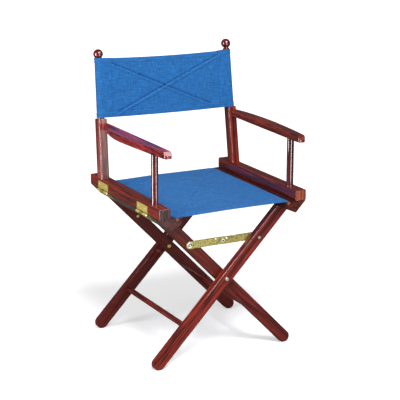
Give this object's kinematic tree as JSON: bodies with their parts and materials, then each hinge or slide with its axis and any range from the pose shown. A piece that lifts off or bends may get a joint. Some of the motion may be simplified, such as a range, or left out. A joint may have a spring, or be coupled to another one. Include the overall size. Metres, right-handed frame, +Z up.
{
  "type": "folding director's chair",
  "caption": "Folding chair with a crossed wooden frame, arm frames hinged to the seat rails, ball-topped back sticks, brass braces and a slung canvas seat and back.",
  "frame": {"origin": "on the floor, under the middle of the open chair", "axes": "+X to the chair's left-hand side as seen by a person facing it from the front, that is to the viewer's right; +Y from the front of the seat to its back; +Z up"},
  "size_m": [0.4784, 0.4626, 0.8475],
  "materials": {
    "varnished_wood": "gloss varnish over a red-brown stain",
    "turned_wood": "gloss varnish over a red-brown stain",
    "brass": "polished, slightly mottled",
    "steel": "bright",
    "canvas": "plain woven canvas, stitched"
  },
  "bodies": {
    "crossing_bolts": {"pivot_bolt_front": "steel", "pivot_bolt_rear": "brass", "pivot_spacer_front": "brass", "pivot_spacer_rear": "brass", "pivot_nut_front": "brass", "pivot_nut_rear": "brass"},
    "outer_frame": {"leg_front_outer": "varnished_wood", "leg_rear_outer": "varnished_wood", "bar_outer": "turned_wood", "seat_rail_right": "varnished_wood", "seat_dowel_right": "turned_wood", "hinge_lower_front_right": "brass", "hinge_lower_rear_right": "brass", "screws_lower_right": "steel", "brace_bolt_front": "steel", "brace_stud_rear": "steel", "seat_canvas": "canvas"},
    "inner_frame": {"leg_front_inner": "varnished_wood", "leg_rear_inner": "varnished_wood", "bar_inner": "turned_wood", "seat_rail_left": "varnished_wood", "seat_dowel_left": "turned_wood", "hinge_lower_front_left": "brass", "hinge_lower_rear_left": "brass", "screws_lower_left": "steel", "brace_stud_front": "steel", "brace_bolt_rear": "brass"},
    "right_arm": {"arm_rail_right": "varnished_wood", "back_post_right": "varnished_wood", "back_stick_right": "turned_wood", "finial_right": "turned_wood", "spindle_right": "turned_wood", "armrest_right": "varnished_wood", "hinge_upper_front_right": "brass", "hinge_upper_rear_right": "brass", "hinge_pins_right": "steel", "screws_upper_right": "steel", "back_canvas": "canvas"},
    "left_arm": {"arm_rail_left": "varnished_wood", "back_post_left": "varnished_wood", "back_stick_left": "turned_wood", "finial_left": "turned_wood", "spindle_left": "turned_wood", "armrest_left": "varnished_wood", "hinge_upper_front_left": "brass", "hinge_upper_rear_left": "brass", "hinge_pins_left": "steel", "screws_upper_left": "steel"},
    "front_link_a": {"brace_link_a_front": "brass", "brace_rivet_front": "steel"},
    "front_link_b": {"brace_link_b_front": "brass", "brace_pin_front": "steel"},
    "rear_link_a": {"brace_link_a_rear": "brass", "brace_rivet_rear": "steel"},
    "rear_link_b": {"brace_link_b_rear": "brass", "brace_pin_rear": "steel"}
  },
  "joints": [
    {"name": "fold", "type": "hinge", "parent": "crossing_bolts", "child": "outer_frame", "pos_m": [0, 0.026, 0.236], "axis": [0, -1, 0], "range_deg": [0, 37], "deforming": ["seat_canvas", "back_canvas"]},
    {"name": "fold_inner", "type": "hinge", "parent": "outer_frame", "child": "inner_frame", "pos_m": [0, 0.026, 0.236], "axis": [0, -1, 0], "range_deg": [-74, 0]},
    {"name": "arm_right", "type": "hinge", "parent": "outer_frame", "child": "right_arm", "pos_m": [0.2355, 0.004, 0.4456], "axis": [0, -1, 0], "range_deg": [-37, 0]},
    {"name": "arm_left", "type": "hinge", "parent": "inner_frame", "child": "left_arm", "pos_m": [-0.2355, 0.004, 0.4456], "axis": [0, -1, 0], "range_deg": [0, 37]},
    {"name": "brace_front_a", "type": "hinge", "parent": "inner_frame", "child": "front_link_a", "pos_m": [-0.1042, -0.1505, 0.3439], "axis": [0, -1, 0], "range_deg": [-42.91, 0]},
    {"name": "brace_front_b", "type": "hinge", "parent": "front_link_a", "child": "front_link_b", "pos_m": [0, -0.1528, 0.3439], "axis": [0, -1, 0], "range_deg": [0, 159.81]},
    {"name": "brace_rear_a", "type": "hinge", "parent": "outer_frame", "child": "rear_link_a", "pos_m": [0.1042, 0.2035, 0.3439], "axis": [0, -1, 0], "range_deg": [0, 42.91]},
    {"name": "brace_rear_b", "type": "hinge", "parent": "rear_link_a", "child": "rear_link_b", "pos_m": [0, 0.2012, 0.3439], "axis": [0, -1, 0], "range_deg": [-159.81, 0]}
  ],
  "couplings": [
    {"joint": "fold_inner", "follows": "fold", "ratio": -2},
    {"joint": "arm_right", "follows": "fold", "ratio": -1},
    {"joint": "arm_left", "follows": "fold", "ratio": 1},
    {"joint": "brace_front_a", "follows": "fold", "ratio": -1.1593},
    {"joint": "brace_front_b", "follows": "fold", "ratio": 4.3187},
    {"joint": "brace_rear_a", "follows": "fold", "ratio": 1.1593},
    {"joint": "brace_rear_b", "follows": "fold", "ratio": -4.3187}
  ]
}
